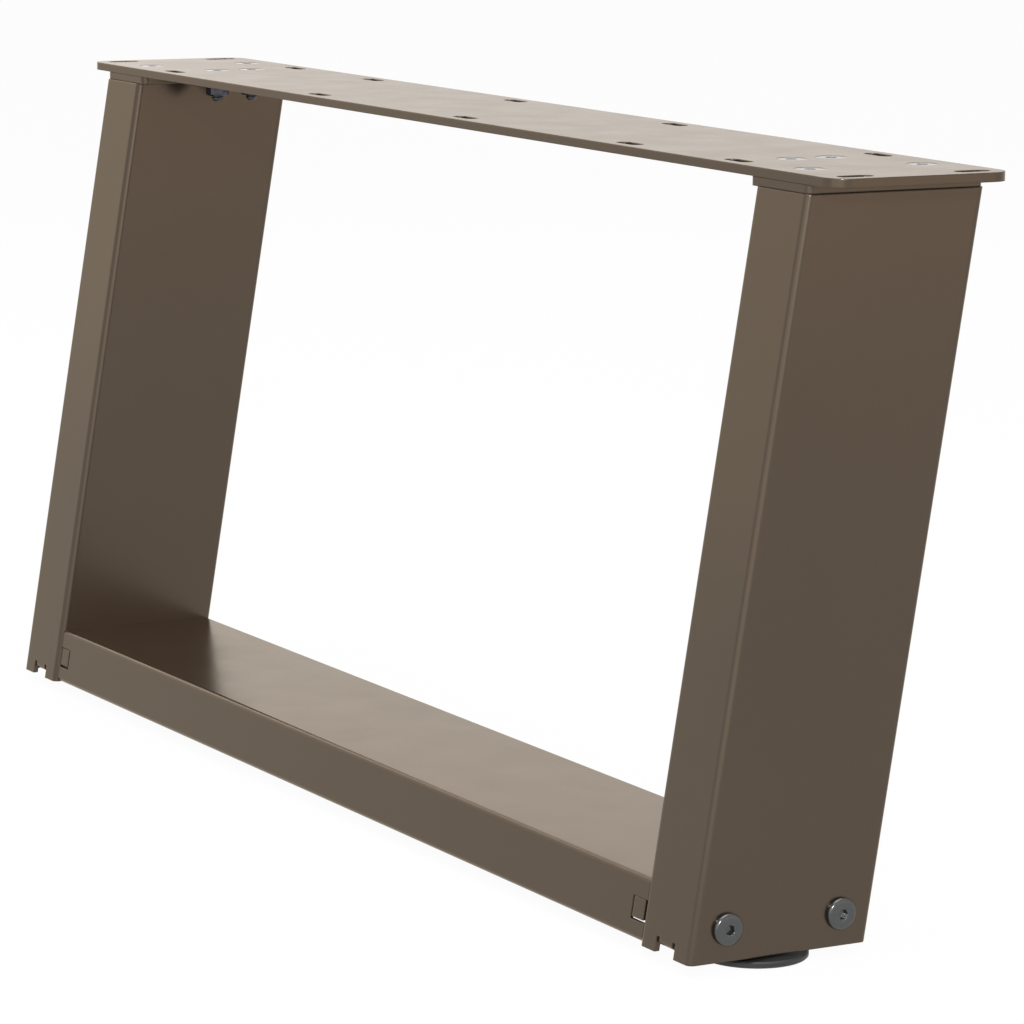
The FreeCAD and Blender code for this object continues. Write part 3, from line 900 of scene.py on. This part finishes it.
@dataclass
class Nuts:
    """Hexagon nuts with turned corners: under the plate screws and on the foot plates, in darker
    zinc that paints their shade.
    """

    finish: bpy.types.Material
    slot: str = "zinc"
    width: float = 13.0
    height: float = 6.5
    turned: float = 12.2
    corner_drop: float = 0.85
    bore_flare: float = 0.55
    bore_chamfer: float = 0.6
    screw_play: float = 0.1
    stud_play: float = 0.3

    def _form(self, bore: float) -> bmesh.types.BMesh:
        """One nut that stands on Z 0.

        Args:
            bore: Radius of its hole in millimetres.

        Returns:
            The closed form.
        """
        half, turned, mouth = self.width / 2, self.turned / 2, bore + self.bore_flare
        top = self.height - self.corner_drop
        form = TurnedForm(bore, self.bore_chamfer)
        form.ring(mouth, 0.0).ring(turned, 0.0)
        form.ring(half, self.corner_drop, Shape.HEXAGON).ring(half, top, Shape.HEXAGON)
        form.ring(turned, self.height).ring(mouth, self.height)
        form.ring(bore, self.height - self.bore_chamfer).ring(bore, self.bore_chamfer)
        return form.closed()

    def build(self, screws: PlateScrews) -> None:
        """Makes the nuts of both sides.

        Args:
            screws: The plate screws, for their places.
        """
        for side in Side:
            node = f"{side.prefix}_plate_nuts"
            low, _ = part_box(node)
            piece = Piece(f"{node}_turned", self.finish)
            for spot in screws.spots(side):
                form = self._form(THREAD_DIAMETER / 2 + self.screw_play)
                piece.add(form, Matrix.Translation((*spot, low.z)))
            piece.finish("frame", node, self.slot)
            node = f"{side.prefix}_foot_nut"
            piece = Piece(f"{node}_turned", self.finish)
            form = self._form(THREAD_DIAMETER / 2 + self.stud_play)
            piece.add(form, Matrix.Translation(foot_of(node)))
            piece.finish("frame", node, self.slot)


@dataclass
class LevellingFeet:
    """Moulded discs with their threaded studs, and the plates that carry them."""

    plastic: bpy.types.Material
    zinc: bpy.types.Material
    chamfer: float = 1.0
    thread_gap: float = 0.1

    def build(self) -> None:
        """Dresses the discs and plates and makes the threaded studs."""
        for side in Side:
            paint_node(f"{side.prefix}_foot_disc", self.plastic)
            paint_node(f"{side.prefix}_foot_plate", self.zinc)
            node = f"{side.prefix}_foot_stud"
            low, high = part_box(node)
            length = (high.z - low.z) / MM
            form = TurnedForm(THREAD_ROOT, 0.0).ring(THREAD_ROOT, length - self.chamfer)
            form.ring(THREAD_ROOT - THREAD_TIP, length).cap()
            seat = Matrix.Translation(foot_of(node))
            piece = Piece(f"{node}_threaded", self.zinc)
            piece.add(form.closed(), seat)
            piece.add(Thread(self.thread_gap, length - THREAD_TIP).build(), seat)
            piece.finish(f"{side.prefix}_foot", node, "zinc")


# Studio and camera


@dataclass(frozen=True)
class SoftBox:
    """One soft lamp that faces the leg."""

    name: str
    place: Place
    size: tuple[float, float]
    watts: float
    colour: Colour = WHITE
    aim: Place = (0.1, 0.0, -0.2)

    def build(self) -> None:
        """Adds the lamp to the scene."""
        lamp = bpy.data.lights.new(self.name, "AREA")
        lamp.shape = "RECTANGLE"
        lamp.size, lamp.size_y = self.size
        lamp.energy = self.watts
        lamp.color = self.colour
        made = bpy.data.objects.new(self.name, lamp)
        made.location = self.place
        direction = Vector(self.aim) - Vector(self.place)
        made.rotation_euler = direction.to_track_quat("-Z", "Y").to_euler()
        made.visible_camera = False
        bpy.context.scene.collection.objects.link(made)


@dataclass
class Studio:
    """Pale floor, white surround and soft lamps."""

    floor_tone: float = 0.8
    floor_glow: float = 0.96
    floor_half: float = 9.0
    floor_gap: float = 0.0004
    world_fill: float = 0.5
    lamps: tuple[SoftBox, ...] = (
        SoftBox("overhead", (0.3, -0.2, 2.6), (3.0, 2.4), 85.0),
        SoftBox("spark", (2.2, -1.15, 0.77), (0.12, 0.12), 30.0, aim=(0.43, -0.06, -0.38)),
        SoftBox("left_window", (-2.6, 0.1, 1.2), (2.0, 1.4), 12.0),
        SoftBox("warm_left", (-2.6, -1.8, 0.6), (1.6, 1.6), 2.5, colour=(1.0, 0.85, 0.55)),
        SoftBox("warm_right", (2.9, 1.3, 0.0), (1.4, 0.7), 1.9, colour=(1.0, 0.6, 0.3)),
        SoftBox("back_left", (-2.4, 1.8, 0.6), (1.8, 1.4), 1.2),
        SoftBox("fold_strip", (1.15, -1.25, -0.1), (1.6, 1.2), 3.5, colour=(1.0, 0.96, 0.9),
                aim=(0.4, -0.05, -0.2)),
    )

    def _world(self) -> None:
        """Even light that the camera and reflections see as white."""
        scene = bpy.context.scene
        scene.world = bpy.data.worlds.new("surround")
        graph = Graph(scene.world)
        fill, shown = (
            graph.node("ShaderNodeBackground", {}, {"Color": opaque(WHITE), "Strength": strength})
            for strength in (self.world_fill, 1.0))
        mix = graph.node("ShaderNodeMixShader", {}, {
            0: graph.on_show(), 1: fill.outputs[0], 2: shown.outputs[0]})
        graph.node("ShaderNodeOutputWorld", {}, {"Surface": mix.outputs[0]})

    def _floor(self) -> None:
        """A pale floor under the feet, white to the camera, that keeps a faint shadow."""
        low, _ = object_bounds()
        bm = bmesh.new()
        bmesh.ops.create_grid(bm, x_segments=1, y_segments=1, size=self.floor_half)
        bmesh.ops.translate(bm, vec=(0.0, 0.0, low[2] - self.floor_gap), verts=bm.verts)
        mesh = bpy.data.meshes.new("floor")
        bm.to_mesh(mesh)
        bm.free()
        graph = Graph.named("pale_floor")
        diffuse = graph.node("ShaderNodeBsdfDiffuse", {}, {
            "Color": opaque(scaled(WHITE, self.floor_tone))})
        glow = graph.node("ShaderNodeEmission", {}, {"Color": opaque(WHITE)})
        mix = graph.node("ShaderNodeMixShader", {}, {
            0: graph.on_show() * self.floor_glow, 1: diffuse.outputs[0], 2: glow.outputs[0]})
        graph.node("ShaderNodeOutputMaterial", {}, {"Surface": mix.outputs[0]})
        mesh.materials.append(graph.owner)
        floor = bpy.data.objects.new("floor", mesh)
        bpy.context.scene.collection.objects.link(floor)
        floor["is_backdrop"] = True

    def build(self) -> None:
        """Sets up the surround, the floor and the lamps."""
        bpy.context.scene.view_settings.view_transform = "Standard"
        self._world()
        self._floor()
        for lamp in self.lamps:
            lamp.build()
        LOG.info("studio ready with %d lamps", len(self.lamps))


@dataclass
class PhotoCamera:
    """The camera at the photograph's viewing angle."""

    place: Place = (2.33388175, -1.31763808, 0.21393216)
    right: Place = (0.49480823, 0.86892795, 0.01135912)
    down: Place = (0.15134763, -0.07329802, -0.98575925)
    lens: float = 158.8315
    sensor_width: float = 36.0
    clip_end: float = 60.0

    def build(self) -> None:
        """Adds the camera and makes it the scene's own."""
        data = bpy.data.cameras.new("photo_camera")
        data.sensor_fit = "HORIZONTAL"
        data.sensor_width = self.sensor_width
        data.lens = self.lens
        data.clip_end = self.clip_end
        camera = bpy.data.objects.new("photo_camera", data)
        right = Vector(self.right).normalized()
        up = -Vector(self.down).normalized()
        back = right.cross(up).normalized()
        turn = Matrix((right, back.cross(right), back)).transposed().to_4x4()
        camera.matrix_world = Matrix.Translation(Vector(self.place)) @ turn
        bpy.context.scene.collection.objects.link(camera)
        bpy.context.scene.camera = camera


def main() -> None:
    """Builds the leg's looks, the studio and the camera."""
    logging.basicConfig(level=logging.INFO, format="%(name)s: %(message)s")
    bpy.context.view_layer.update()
    finishes = Finishes()
    SheetWork(finishes.paint).dress()
    FrameScrews(finishes.dark).build()
    screws = PlateScrews(finishes.zinc, finishes.nut)
    screws.build()
    Nuts(finishes.nut).build(screws)
    LevellingFeet(finishes.plastic, finishes.zinc).build()
    Studio().build()
    PhotoCamera().build()


if __name__ == "__main__":
    main()
